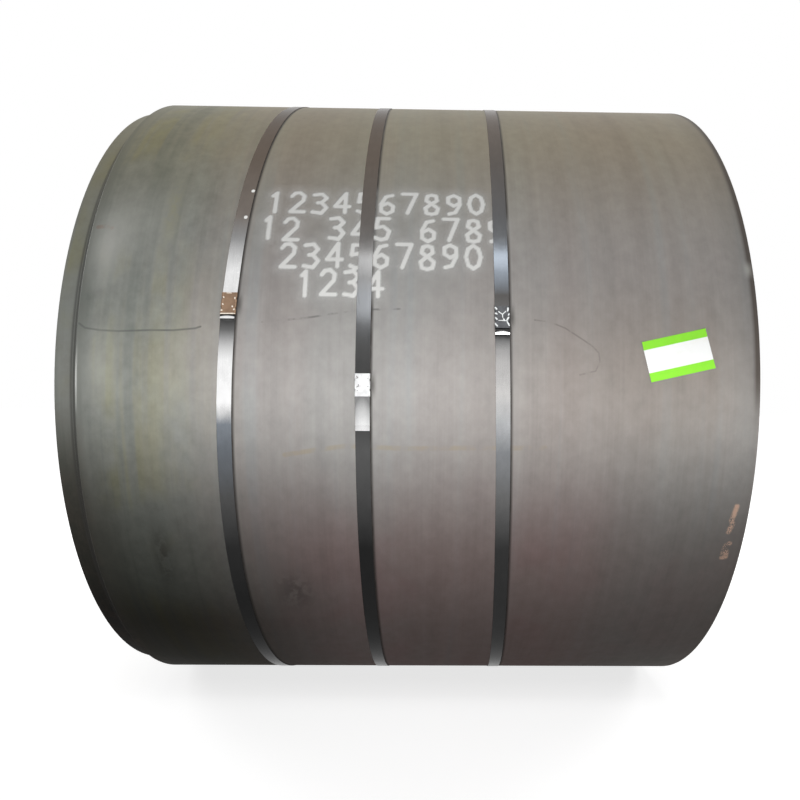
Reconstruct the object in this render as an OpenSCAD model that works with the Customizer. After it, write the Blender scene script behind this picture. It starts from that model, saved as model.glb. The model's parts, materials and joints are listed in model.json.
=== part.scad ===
// Hot-rolled steel coil lying on its side, with three steel straps, their seals and a paper label.
// The coil's axis runs along X, its front faces -Y, and the origin is under its middle on the floor.

/* [Strip] */
// Width of the steel strip
strip_w = 1500; // [1300:10:2000]
// Thickness of the steel strip
strip_t = 11.75; // [6:0.25:16]

/* [Winding] */
// Diameter of the bore, the coil's eye
bore_d = 762; // [500:1:900]
// Number of turns
turns = 46; // [20:1:60]
// How far the inner turns stray along the axis
stray = 5; // [1:0.5:10]
// How far the last turn's edge stands in from the left end
last_inset = 60; // [50:1:100]
// How far the edge of the turn under it stands in
second_inset = 48; // [15:1:55]
// Where the strip's tail ends, measured from the lowest point round to the back
tail_angle = 117; // [105:1:140]

/* [Straps] */
// Width of the strap
strap_w = 32; // [19:1:40]
// Thickness of the strap
strap_t = 1; // [0.6:0.1:1.2]
// From the coil's left end to the left strap, where it crosses over the axis
strap_left_at = 443; // [330:1:580]
// From the coil's left end to the middle strap
strap_middle_at = 703; // [600:1:860]
// From the coil's left end to the right strap
strap_right_at = 1036; // [930:1:1120]
// Slant of the left strap seen from above
slant_left = -3.7; // [-5:0.1:5]
// Slant of the middle strap seen from above
slant_middle = -1.2; // [-5:0.1:5]
// Slant of the right strap seen from above
slant_right = -2.8; // [-5:0.1:5]
// Lean of the left strap seen from the front
lean_left = 1.1; // [-3:0.1:3]
// Lean of the middle strap seen from the front
lean_middle = -0.2; // [-3:0.1:3]
// Lean of the right strap seen from the front
lean_right = -1; // [-3:0.1:3]
// Length of the cut end below the left seal
end_left = 15; // [5:1:120]
// Length of the cut end below the middle seal
end_middle = 75; // [5:1:120]
// Length of the cut end below the right seal
end_right = 15; // [5:1:120]

/* [Seals] */
// Length of a seal along its strap
seal_len = 50; // [36:1:70]
// Sheet thickness of a seal
seal_t = 0.9; // [0.6:0.1:1.2]
// Width of the open seam under a seal
seam_w = 6; // [3:1:12]
// Height of the left seal on the front, in degrees above the axis
seal_left_angle = 11; // [-15:0.5:18]
// Height of the middle seal on the front
seal_middle_angle = 0; // [-15:0.5:18]
// Height of the right seal on the front
seal_right_angle = 9.5; // [-15:0.5:18]
// Radius of the crimp notches in a seal's edges
notch_r = 3.5; // [2:0.5:5]
// Depth of the crimp notches
notch_d = 2.2; // [1.2:0.1:3]
// Distance between the two notches of an edge
notch_pitch = 22; // [12:1:26]

/* [Label] */
// Width of the label
label_w = 146; // [80:1:180]
// Height of the label
label_h = 91; // [50:1:150]
// Thickness of the paper
label_t = 0.3; // [0.2:0.1:0.6]
// From the coil's right end to the label's middle
label_inset = 182; // [160:1:260]
// Height of the label on the front, in degrees above the axis
label_angle = 4.5; // [-20:0.5:20]
// Turn of the label, right side up
label_turn = 13; // [-30:1:30]

/* [Fits] */
// Gap between the coil and what lies on it
seat_gap = 0.3; // [0.25:0.05:0.5]
// Gap round the strap inside a seal
seal_gap = 0.15; // [0.1:0.05:0.3]

/* [Hidden] */

bore_r = bore_d / 2;
coil_r = bore_r + turns * strip_t;
coil_len = strip_w + last_inset;
// Each turn is two half circles: the front half is centred on the bore, and the half that ends at the
// tail is centred this far beside it, towards the tail. The coil lies with its heavy side down
half_shift = strip_t / 2;
axis_z = coil_r + half_shift * (1 + cos(tail_angle)) + seat_gap + strap_t;
// Inside the winding the turns lie this much further in on one half and out on the other,
// so that no turn touches its neighbour's neighbour edge on edge
half_slack = strip_t / 24;
// Longer than any piece, for cuts that run right through
reach = 2 * (coil_r + coil_len);
round_fn = 360;
// Angle between the points of a strap's round stretches
arc_step = 2;

// What is stated for each strap and its seal
LEFT = [strap_left_at, slant_left, lean_left, seal_left_angle, end_left];
MIDDLE = [strap_middle_at, slant_middle, lean_middle, seal_middle_angle, end_middle];
RIGHT = [strap_right_at, slant_right, lean_right, seal_right_angle, end_right];
function place(s) = s[0] - coil_len / 2;
function slant(s) = s[1];
function lean(s) = s[2];
function seal_angle(s) = s[3];
function end_len(s) = s[4];

// Heights over the coil's surface at a seal: its flange, the strap's two layers and its back
flange_h = seat_gap + seal_t;
lift_h = flange_h + seal_gap;
back_h = lift_h + 2 * strap_t + seal_gap;
seal_h = back_h + seal_t;
seal_in_w = strap_w + 2 * seal_gap;
seal_w = seal_in_w + 2 * seal_t;
label_x = coil_len / 2 - label_inset;

// Lays a drawing on the coil: its x points down, its y to the back and its z along the axis
module along_axis() {
    translate([0, 0, axis_z])
        rotate([0, 90, 0])
            children();
}

// Turns a drawing so that its x points out of the coil's front, at an angle above the axis
module on_front(angle) {
    rotate([0, 0, 270 - angle])
        children();
}

// Turns a drawing so that its -x points at the strip's tail
module from_tail() {
    rotate([0, 0, tail_angle + 180])
        children();
}

// Where the edge of a turn starts, counted from the outside
function turn_start(k) =
    -coil_len / 2 + (k == 0 ? last_inset : k == 1 ? second_inset : stray * ((7 * k) % 10) / 10);

// One end of the winding from the inside outwards, each turn a step of its own
function turn_edges(base, slack, side) = [
    for (i = [0 : turns - 1])
        let (
            inner = i == 0 ? bore_r - strip_t : base + i * strip_t + slack,
            outer = base + (i + 1) * strip_t + (i == turns - 1 ? 0 : slack),
            edge = turn_start(turns - 1 - i) + (side > 0 ? strip_w : 0)
        )
        each [[inner, edge], [outer, edge]]
];

function reversed(points) = [for (i = [len(points) - 1 : -1 : 0]) points[i]];

// Half of every turn, wound about one centre from a radius
module half_turns(base, slack) {
    left = turn_edges(base, slack, -1);
    right = turn_edges(base, slack, 1);
    rotate_extrude(angle = 180, $fn = round_fn)
        polygon(concat(left, reversed(right)));
}

module coil() {
    color("#8b8680")
        along_axis()
            difference() {
                from_tail() {
                    translate([-half_shift, 0, 0])
                        half_turns(bore_r + half_shift, -half_slack);
                    rotate([0, 0, 180])
                        half_turns(bore_r, half_slack);
                }
                cylinder(h = reach, r = bore_r, center = true, $fn = round_fn);
            }
}

function polar(r, a) = [r * cos(a), r * sin(a)];

// Angles from one to another in even steps, both ends included
function sweep(from, to) =
    let (n = max(1, ceil((to - from) / arc_step)))
    [for (i = [0 : n]) from + (to - from) * i / n];

// Angle from a point at one radius to where its tangent meets a smaller circle
function tangent_angle(circle_r, point_r) = acos(circle_r / point_r);

// The line of a tight band at a height h over the coil, seen from the tail: straight down from the tail's
// corner, round the front half, straight over the seal's flange, and round the half that ends at the tail
function band_line(h, pad_h, seat) =
    let (
        r = coil_r + h,
        drop = tangent_angle(r, r + strip_t),
        pad_r = norm([coil_r + pad_h, seal_len / 2]),
        pad_a = atan2(seal_len / 2, coil_r + pad_h),
        leave_a = pad_a + tangent_angle(r, pad_r),
        to_join = sweep(seat + leave_a, 360)
    )
    concat(
        [for (a = sweep(180 + drop, seat - leave_a)) polar(r, a)],
        [polar(pad_r, seat - pad_a), polar(pad_r, seat + pad_a)],
        [for (i = [0 : len(to_join) - 2]) polar(r, to_join[i])],
        [for (a = sweep(0, 180)) polar(r + half_shift, a) - [half_shift, 0]]
    );

// The flat shape inside such a line, with a number of strap layers below it
module band_shape(s, layers) {
    seat = 450 - seal_angle(s) - tail_angle;
    from_tail()
        polygon(band_line(seat_gap + layers * strap_t, lift_h + layers * strap_t, seat));
}

// A slab across the whole coil at a strap's place, slanted as the strap is
module slab(s, w) {
    translate([place(s), 0, axis_z])
        rotate([0, lean(s), slant(s)])
            cube([w, reach, reach], center = true);
}

// The strap is a closed band, with its cut end lying on it as a second layer from inside the seal
module strap(s) {
    intersection() {
        slab(s, strap_w);
        along_axis()
            linear_extrude(height = coil_len, center = true)
                difference() {
                    union() {
                        band_shape(s, 1);
                        intersection() {
                            band_shape(s, 2);
                            on_front(seal_angle(s))
                                translate([0, -seal_len / 3])
                                    square([reach, seal_len / 3 + seal_len / 2 + end_len(s)]);
                        }
                    }
                    band_shape(s, 0);
                }
    }
}

module strap_left() { color("#7d7b77") strap(LEFT); }
module strap_middle() { color("#7d7b77") strap(MIDDLE); }
module strap_right() { color("#6f7072") strap(RIGHT); }

// A block along the strap at its seal, between two heights over the coil
module seal_block(s, low, high, length, w) {
    intersection() {
        slab(s, w);
        along_axis()
            on_front(seal_angle(s))
                translate([coil_r + low, -length / 2, -coil_len / 2])
                    cube([high - low, length, coil_len]);
    }
}

// Where a strap's middle line lies along the axis, at an angle above it on the front
function strap_at(s, angle) =
    place(s) + coil_r * (tan(slant(s)) * cos(angle) + tan(lean(s)) / cos(slant(s)) * sin(angle));

// Two round crimp notches in each edge of a seal
module notches(s) {
    for (along = [-1, 1] * notch_pitch / 2)
        for (side = [-1, 1]) {
            angle = seal_angle(s) - asin(along / coil_r);
            along_axis()
                on_front(seal_angle(s))
                    translate([coil_r, along, strap_at(s, angle) + side * (seal_w / 2 + notch_r - notch_d)])
                        rotate([0, 90, 0])
                            cylinder(h = 2 * seal_h, r = notch_r, $fn = 48);
        }
}

// A sheet sleeve folded round both layers of the strap, open in a seam below
module seal(s) {
    through = 2 * seal_len;
    difference() {
        seal_block(s, seat_gap, seal_h, seal_len, seal_w);
        seal_block(s, flange_h, back_h, through, seal_in_w);
        seal_block(s, 0, lift_h, through, seam_w);
        notches(s);
    }
}

module seal_left() { color("#8a7358") seal(LEFT); }
module seal_middle() { color("#b9bcbd") seal(MIDDLE); }
module seal_right() { color("#5d5f61") seal(RIGHT); }

// A paper sheet that follows the coil's surface
module label() {
    color("#e9efe2")
        along_axis()
            intersection() {
                translate([0, 0, label_x])
                    difference() {
                        cylinder(h = 2 * label_w, r = coil_r + seat_gap + label_t, center = true, $fn = round_fn);
                        cylinder(h = 3 * label_w, r = coil_r + seat_gap, center = true, $fn = round_fn);
                    }
                on_front(label_angle)
                    translate([coil_r, 0, label_x])
                        rotate([label_turn, 0, 0])
                            cube([coil_r / 2, label_h, label_w], center = true);
            }
}

coil();
strap_left();
strap_middle();
strap_right();
seal_left();
seal_middle();
seal_right();
label();
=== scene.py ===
import json
import math
from typing import NamedTuple

import bpy
import numpy as np
from bpy.props import FloatProperty, FloatVectorProperty, IntProperty, PointerProperty
from mathutils import Matrix, Vector


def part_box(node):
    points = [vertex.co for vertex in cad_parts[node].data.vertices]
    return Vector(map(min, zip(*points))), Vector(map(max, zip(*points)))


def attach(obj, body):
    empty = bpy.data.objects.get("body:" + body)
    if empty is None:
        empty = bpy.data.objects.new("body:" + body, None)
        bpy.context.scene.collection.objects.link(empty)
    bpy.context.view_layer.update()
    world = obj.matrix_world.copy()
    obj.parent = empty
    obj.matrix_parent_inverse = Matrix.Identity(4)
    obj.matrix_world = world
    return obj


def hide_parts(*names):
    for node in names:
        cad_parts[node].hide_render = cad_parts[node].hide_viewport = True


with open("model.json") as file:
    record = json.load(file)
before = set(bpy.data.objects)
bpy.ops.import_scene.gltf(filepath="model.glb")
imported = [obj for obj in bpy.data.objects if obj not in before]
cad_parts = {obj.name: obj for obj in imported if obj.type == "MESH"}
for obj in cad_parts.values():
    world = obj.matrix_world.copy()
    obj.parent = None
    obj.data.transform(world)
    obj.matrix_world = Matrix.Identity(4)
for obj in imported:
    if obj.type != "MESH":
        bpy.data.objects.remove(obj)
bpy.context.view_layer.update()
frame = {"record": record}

bl_info = {
    "name": "Strapped Steel Coil",
    "version": (1, 0, 0),
    "blender": (4, 5, 0),
    "location": "View3D > Sidebar > Coil",
    "description": "Winds a hot-rolled steel coil, straps it and lights it on a pale floor",
    "category": "Add Mesh",
}

EYE = frame["record"]["mounts"][0]
AXIS_Z = EYE["pos_m"][2]
BORE_R = EYE["dims"]["r_mm"] / 1000
COIL_LEFT, COIL_RIGHT = (corner.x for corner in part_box("coil"))

# A spin stops just short of a whole turn, so that its first and last rings can be told apart
SPIN = math.radians(359.9)

# Metres: what is merged to one point, and the gaps under the last turn, under a cut end and under the paint
MERGE = 2e-5
TURN_GAP = 0.0002
LAP_GAP = 0.00003
FILM_GAP = 0.0001

# The share of a turn at which it starts to pass over into the next one out, on the hidden back
CROSSING = 0.72

# An edit-mode step that turns all faces outwards
OUTWARD = (bpy.ops.mesh.normals_make_consistent, {"inside": False})


class Strap(NamedTuple):
    """A strap's place along the axis in metres, its slant from above, its lean from the front and the height
    of its seal on the front in degrees, and the metres of cut end below the seal."""

    along: float
    slant: float
    lean: float
    seal: float
    cut: float

    def middle(self, y, up):
        """Where its middle line lies along the axis, so far to the back (y) and over the axis (up)."""
        slant, lean = math.radians(self.slant), math.radians(self.lean)
        return y * -math.tan(slant) + up * (math.tan(lean) / math.cos(slant)) + self.along

    def across(self, offset):
        """How much of the axis an offset across the strap takes up."""
        return offset / (math.cos(math.radians(self.slant)) * math.cos(math.radians(self.lean)))


STRAPS = {
    "left": Strap(-0.337, -3.7, 1.1, 11.0, 0.01),
    "middle": Strap(-0.077, -1.2, -0.2, 0.0, 0.075),
    "right": Strap(0.256, -2.8, -1.0, 9.5, 0.015),
}

# Strap finish from the underside up, its brightness painted highlights and shade: degrees above the axis,
# brightness, and a blue tint, warm below 0
STRAP_LIGHT_AND_TINT = {
    "left": (
        (-60, 0.012, 0), (-34, 0.014, 0), (-24, 0.025, 0), (-16, 0.07, 0), (-9, 0.13, 0.25),
        (-5.4, 0.22, 0.25), (-4, 0.6, 0), (-2.4, 1.0, 0), (3.2, 0.95, 0), (5, 0.62, 0), (6.2, 0.36, 0),
        (7.3, 0.16, 0), (8.6, 0.06, 0), (10, 0.3, 0), (12.5, 0.75, 0), (15.5, 0.8, 0), (18.5, 0.52, 0),
        (21, 0.28, 0), (25, 0.16, -0.3), (37, 0.115, -0.5), (60, 0.15, -0.5),
    ),
    "middle": (
        (-60, 0.02, 0), (-34, 0.018, 0), (-24, 0.018, 0), (-16, 0.06, 0), (-9, 0.085, 0), (-4, 0.06, 0),
        (0, 0.06, 0), (5, 0.085, 0), (10, 0.1, 0.1), (12.5, 0.09, 0.1), (15, 0.075, 0), (18, 0.13, 0),
        (24, 0.12, -0.2), (37, 0.115, -0.45), (60, 0.15, -0.5),
    ),
    "right": (
        (-60, 0.035, 0), (-34, 0.03, 0), (-24, 0.035, 0), (-16, 0.12, 0), (-9, 0.21, 0.1), (-5, 0.45, 0.05),
        (-1, 0.64, -0.04), (3, 0.52, -0.04), (5, 0.36, -0.03), (6.2, 0.2, 0), (6.8, 0.05, 0), (9.5, 0.03, 0),
        (12.6, 0.02, -0.1), (13.8, 0.035, 0.2), (16, 0.06, 0.3), (19, 0.15, 0.3), (22, 0.12, 0.1),
        (37, 0.115, -0.25), (60, 0.19, -0.45),
    ),
}

# Painted shadow and highlight on each cut end: brightness from its seal (0) to its tip (1)
TIP_SHADOW_AND_HIGHLIGHT = {
    "left": ((0, 0.03), (0.3, 0.03), (0.42, 0.8), (1, 0.9)),
    "middle": ((0, 0.26), (0.3, 0.5), (0.65, 0.72), (1, 0.9)),
    "right": ((0, 0.012), (0.4, 0.012), (0.52, 0.75), (1, 0.85)),
}

# Specks of spray on a strap: metres across it and degrees above the axis
PAINT_SPECKS = {"left": ((0.011, 29.6), (0.008, 24.6))}

# Painted light on each seal, mostly at its crimps and rims: highlights on the left and right seals, shade on
# the middle one;
# start and end in millimetres across and below its middle, and their reach
SEAL_PAINTED_LIGHT = {
    "left": (
        ((-12.5, -14), (-12, -13), 3.4), ((-13, 2), (-12, 2.5), 3.2), ((-14.5, 16), (-13, 16), 3.2),
        ((12.5, -13), (13.5, -11), 3.4), ((8.5, 7), (9, 8), 3.2), ((12.5, 15), (13.5, 13.5), 3.2),
        ((-15, 23.5), (15, 23.5), 2.6), ((-6, -23.5), (4, -23.5), 2.0),
    ),
    "middle": (
        ((-13, -19), (-9.5, -15.5), 1.7), ((-9.5, -15.5), (-14, -14.5), 1.7), ((-8.5, -1), (-9, 3.5), 1.7),
        ((-9, 3.5), (-13, 5), 1.9), ((-11, 11.5), (-10.5, 12.5), 1.8), ((11, -15), (13, -14), 1.4),
        ((11, 3), (13, 4), 1.4),
    ),
    "right": (
        ((-15, -21), (-12.5, -18), 3.6), ((-16, -9), (-12, -6.5), 3.4), ((-14.5, 2), (-12, 5), 3.8),
        ((-15, 16), (-11.5, 20.5), 3.8), ((13, -20), (12.5, -14), 3.6), ((16, -8), (13.5, -4), 2.8),
        ((14, 1), (10.5, 6), 3.4), ((11, 11), (15, 19), 3.4), ((-8, -12), (0.5, -6), 2.4),
        ((0.5, -6), (8, -13), 2.4), ((0.5, -6), (1, 1), 2.2), ((3, 5), (5, 8), 3.4),
        ((-8, 8), (11, 8.5), 1.8),
    ),
}

# Strokes of the plain figures, in hundredths of their width and height
FIGURES = {
    "0": [[(50, 100), (15, 85), (0, 50), (15, 15), (50, 0), (85, 15), (100, 50), (85, 85), (50, 100)]],
    "1": [[(30, 82), (55, 100), (55, 0)]],
    "2": [[(5, 80), (25, 97), (60, 100), (92, 83), (88, 58), (5, 0), (100, 0)]],
    "3": [[(5, 95), (60, 100), (93, 78), (60, 54), (35, 53)], [(60, 54), (97, 28), (65, 0), (2, 6)]],
    "4": [[(72, 0), (72, 100), (0, 30), (100, 30)]],
    "5": [[(93, 100), (15, 100), (8, 56), (55, 62), (97, 40), (80, 6), (40, 0), (2, 10)]],
    "6": [[(85, 97), (40, 90), (8, 50), (10, 15), (50, 0), (90, 14), (93, 40), (55, 56), (12, 42)]],
    "7": [[(0, 100), (100, 100), (38, 0)]],
    "8": [[(50, 54), (12, 70), (20, 95), (50, 100), (80, 95), (88, 70), (50, 54), (5, 30), (15, 5), (50, 0),
           (85, 5), (95, 30), (50, 54)]],
    "9": [[(88, 58), (50, 44), (10, 60), (10, 88), (50, 100), (90, 86), (92, 50), (60, 10), (15, 3)]],
}

# Rows of sprayed figures: what they say, where they start along the axis, and their foot on the front
FIGURE_ROWS = (
    ("1234567890", -0.330, 25.7),
    ("12 345 6789", -0.338, 21.0),
    ("234567890", -0.287, 16.6),
    ("1234", -0.246, 12.4),
)

# Marks on the outer turn as lines of places: metres along the axis, degrees above it on the front
PEN_LINE = (
    (-0.715, 8.0), (-0.702, 7.4), (-0.669, 7.1), (-0.63, 7.0), (-0.56, 7.18), (-0.51, 7.2), (-0.463, 7.5),
    (-0.452, 7.75),
)
FAINT_LINE = ((-0.318, 8.5), (-0.268, 8.8), (-0.21, 9.25), (-0.17, 9.7), (-0.094, 10.4), (-0.017, 10.55))
SCRATCH = (
    (0.281, 9.2), (0.314, 8.95), (0.348, 8.1), (0.387, 6.5), (0.407, 5.65), (0.422, 4.7), (0.424, 3.45),
    (0.414, 2.2), (0.38, 1.65),
)
SMEARS = (
    ((0.7495, -16.8), (0.7465, -18.1), (0.7435, -19.0), (0.7465, -19.6), (0.741, -20.9)),
    ((0.749, -22.9), (0.742, -23.3), (0.7395, -24.7), (0.746, -24.3), (0.747, -25.3), (0.7395, -25.4)),
)
RED_SCUFF = ((-0.705, 22.6), (-0.69, 22.75), (-0.676, 22.5))
DRIP_LINE = ((-0.267, -9.7), (-0.2, -9.0), (-0.135, -8.4), (0.0, -8.7), (0.15, -8.5), (0.306, -8.45))

# Spots on the outer turn: middle and reach along the axis, middle and reach in degrees, and strength
# Darker spots low on the front
LOW_DARK_SPOTS = ((-0.268, 0.075, -32.5, 6.5, 0.75), (-0.562, 0.036, -26, 9, 0.95))
# The pale spots are painted highlights
PAINTED_HIGHLIGHTS = (
    (-0.675, 0.06, 19.5, 9, 0.5), (0.768, 0.014, 17, 1.8, 0.42), (-0.67, 0.085, 2.5, 9.5, 0.25),
    (-0.62, 0.15, 23, 11, 0.24),
)

# Painted shade low on the front: degrees above the axis where one starts and is full,
# the same along the axis, and its tint
PAINTED_FRONT_SHADE = (
    ((2, -30), (0.05, -0.66), (0.28, 0.285, 0.265)),
    ((-27, -42), (-0.1, -0.66), (0.18, 0.16, 0.13)),
    ((-3, -22), (-0.6, -0.71), (0.6, 0.57, 0.54)),
    ((-4, -24), (0.2, 0.75), (0.664, 0.68, 0.664)),
    ((0, -16), (-0.7, -0.728), (0.56, 0.54, 0.51)),
)


def length_property(name, description, default):
    return FloatProperty(name=name, description=description, default=default, unit="LENGTH")


def angle_property(name, description, degrees):
    return FloatProperty(name=name, description=description, default=math.radians(degrees), subtype="ANGLE")


def colour_property(name, description, default):
    return FloatVectorProperty(
        name=name, description=description, default=default, size=3, min=0, max=1, subtype="COLOR"
    )


class CoilSizes(bpy.types.PropertyGroup):
    """Sizes of the winding."""

    strip_t: length_property("Strip thickness", "Thickness of the steel strip", 0.01175)
    turns: IntProperty(name="Turns", description="Number of turns", default=46, min=4)
    tail: angle_property("Tail", "Where the strip's tail ends, from the lowest point round to the back", 117)
    last_inset: length_property("Last inset", "How far the last turn stands in from the left end", 0.06)
    second_inset: length_property("Second inset", "How far the turn under it stands in", 0.048)
    stray: length_property("Stray", "How far the inner turns stray along the axis", 0.005)
    edge_round: length_property("Edge rounding", "Rounding of the strip's edges", 0.0025)
    groove: length_property("Groove", "Depth of the gap that shows between turns", 0.004)


class StrapSizes(bpy.types.PropertyGroup):
    """Sizes of the straps and their seals."""

    width: length_property("Strap width", "Width of a strap", 0.032)
    thick: length_property("Strap thickness", "Thickness of a strap", 0.001)
    seat_gap: length_property("Seat gap", "Gap between the coil and what lies on it", 0.0003)
    seal_len: length_property("Seal length", "Length of a seal along its strap", 0.05)
    seal_t: length_property("Seal sheet", "Sheet thickness of a seal", 0.0009)
    seal_gap: length_property("Seal gap", "Gap round the strap inside a seal", 0.00015)
    seam: length_property("Seam", "Open seam under a seal", 0.006)
    crimp: length_property("Crimp depth", "How deep the crimper pressed a seal's edges", 0.0022)
    crimp_pitch: length_property("Crimp pitch", "Distance between the two crimps of an edge", 0.022)


class LabelSizes(bpy.types.PropertyGroup):
    """Sizes and place of the paper label and the sprayed figures."""

    width: length_property("Label width", "Width of the label", 0.146)
    height: length_property("Label height", "Height of the label", 0.091)
    paper: length_property("Paper", "Thickness of the paper", 0.0003)
    along: length_property("Label place", "Label's middle along the axis", 0.598)
    angle: angle_property("Label height on the front", "Angle above the axis", 4.5)
    turn: angle_property("Label turn", "Turn of the label, right side up", 13)
    corner_lift: length_property("Corner lift", "How far the label's corners stand off", 0.0016)
    figure_w: length_property("Figure width", "Width of a sprayed figure", 0.033)
    figure_h: length_property("Figure height", "Height of a sprayed figure", 0.059)
    figure_pitch: length_property("Figure pitch", "From one figure to the next", 0.0521)
    spray: length_property("Spray", "Half the width of a sprayed stroke", 0.0042)


class Finishes(bpy.types.PropertyGroup):
    """Colours of the coil and what is on it."""

    scale_grey: colour_property("Mill scale", "Middle grey of the mill scale", (0.352, 0.345, 0.333))
    scale_green: colour_property("Green scale", "Greenish scale near the left end", (0.265, 0.28, 0.255))
    scale_plum: colour_property("Plum scale", "Brown and plum streaks", (0.362, 0.333, 0.318))
    scale_blue: colour_property("Blue scale", "Bluish streaks", (0.29, 0.305, 0.31))
    scale_dark: colour_property("Dark scale", "Dark rims and stains", (0.075, 0.06, 0.05))
    rust: colour_property("Rust", "Thin rust on the edges", (0.23, 0.13, 0.085))
    salmon: colour_property("Primer smudge", "Salmon-coloured smudges", (0.74, 0.5, 0.38))
    seal_brown: colour_property("Brown seal", "Brown left seal", (0.27, 0.172, 0.108))
    seal_zinc: colour_property("Zinc seal", "Bright middle seal", (0.83, 0.84, 0.85))
    seal_dark: colour_property("Dark seal", "Dark right seal", (0.06, 0.063, 0.068))
    label_green: colour_property("Label green", "Bands of the label", (0.25, 0.72, 0.035))
    label_white: colour_property("Label white", "Paper of the label", (0.86, 0.87, 0.86))
    spray_white: colour_property("Spray white", "Sprayed figures", (0.83, 0.83, 0.81))


def coil_radius(sizes):
    """Outer radius of the front half, which is centred on the bore."""
    return BORE_R + sizes.turns * sizes.strip_t


def at_angle(radius, turn):
    """A place round the axis, the turn measured from the lowest point towards the back."""
    return radius * math.sin(turn), AXIS_Z - radius * math.cos(turn)


def on_front(radius, angle):
    """A place on the front, at an angle above the axis."""
    return -radius * math.cos(angle), AXIS_Z + radius * math.sin(angle)


def wound(sizes, radius, share):
    """A place in the winding, from the tail's line (share 0) round the front and on to the tail (1)."""
    turn = sizes.tail + math.tau * share
    if share <= 0.5:
        return at_angle(radius, turn)
    shift = sizes.strip_t / 2
    y, z = at_angle(radius + shift, turn)
    return y + shift * math.sin(sizes.tail), z - shift * math.cos(sizes.tail)


def smooth(value):
    value = min(1.0, max(0.0, value))
    return value * value * (3 - 2 * value)


def only(piece):
    """Leaves one piece selected and active."""
    bpy.ops.object.select_all(action="DESELECT")
    piece.select_set(True)
    bpy.context.view_layer.objects.active = piece


def in_edit(piece, *steps):
    """Runs edit-mode operators on all of a piece."""
    only(piece)
    bpy.ops.object.mode_set(mode="EDIT")
    bpy.ops.mesh.select_all(action="SELECT")
    for step, settings in steps:
        step(**settings)
    bpy.ops.object.mode_set(mode="OBJECT")


def start_piece(name, add, **settings):
    """Adds a primitive with nothing else selected."""
    bpy.ops.object.select_all(action="DESELECT")
    add(**settings)
    piece = bpy.context.object
    piece.name = name
    piece.data.name = name
    return piece


def spun(name, profile, steps, place, closed=True):
    """Spins a profile of (radius, x) round the axis; place(step, radius, x) says where its points lie."""
    piece = start_piece(name, bpy.ops.mesh.primitive_circle_add, vertices=len(profile), radius=1)
    for vertex, (radius, x) in zip(piece.data.vertices, profile):
        vertex.co = (x, 0, radius)
    in_edit(piece, (bpy.ops.mesh.spin, {
        "steps": steps, "angle": SPIN, "center": (0, 0, 0), "axis": (1, 0, 0)
    }))
    for vertex in piece.data.vertices:
        x, y, z = vertex.co
        turn = math.atan2(y, z) % math.tau
        step = round(turn / SPIN * steps)
        vertex.co = place(step, math.hypot(y, z), x)
    close = [] if closed else [(bpy.ops.mesh.fill_holes, {"sides": 0})]
    in_edit(piece, (bpy.ops.mesh.remove_doubles, {"threshold": MERGE}), *close, OUTWARD)
    return piece


def thicken(piece, thickness):
    """Gives a sheet its thickness, half to either side."""
    only(piece)
    wall = piece.modifiers.new("wall", "SOLIDIFY")
    wall.thickness = thickness
    wall.offset = 0
    bpy.ops.object.modifier_apply(modifier=wall.name)
    in_edit(piece, OUTWARD)


def write_values(piece, name, values):
    """Keeps a value at each point of a piece, for its material."""
    piece.data.attributes.new(name, "FLOAT", "POINT").data.foreach_set("value", values)


def dress(piece, material, node, slot, smooth_angle=35):
    """Gives a finished piece its material, its smoothing and its place in the frame."""
    only(piece)
    bpy.ops.object.shade_smooth_by_angle(angle=math.radians(smooth_angle))
    piece.data.materials.clear()
    piece.data.materials.append(material)
    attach(piece, "root")
    if node:
        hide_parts(node)


class Value:
    """A shader socket whose sums and products add Math nodes."""

    def __init__(self, finish, socket):
        self.finish = finish
        self.socket = socket

    def math(self, operation, *others):
        return self.finish.node("Math", {"operation": operation}, dict(enumerate((self, *others))))

    def __add__(self, other):
        return self.math("ADD", other)

    __radd__ = __add__

    def __mul__(self, other):
        return self.math("MULTIPLY", other)

    __rmul__ = __mul__

    def __sub__(self, other):
        return self.math("SUBTRACT", other)

    def __rsub__(self, other):
        return self.finish.node("Math", {"operation": "SUBTRACT"}, {0: other, 1: self})

    def __truediv__(self, other):
        return self.math("DIVIDE", other)

    def __neg__(self):
        return self * -1

    def __abs__(self):
        return self.math("ABSOLUTE")

    def least(self, other):
        return self.math("MINIMUM", other)

    def most(self, other):
        return self.math("MAXIMUM", other)

    def between(self, low, high):
        """0 at low, 1 at high, with a soft change between; high may be the lower one."""
        return self.finish.node(
            "MapRange", {"interpolation_type": "SMOOTHSTEP", "clamp": True},
            {"Value": self, "From Min": low, "From Max": high},
        )

    def near(self, middle, reach):
        """1 at the middle, fading to 0 at a reach to either side."""
        return abs(self - middle).between(reach, 0)


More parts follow.
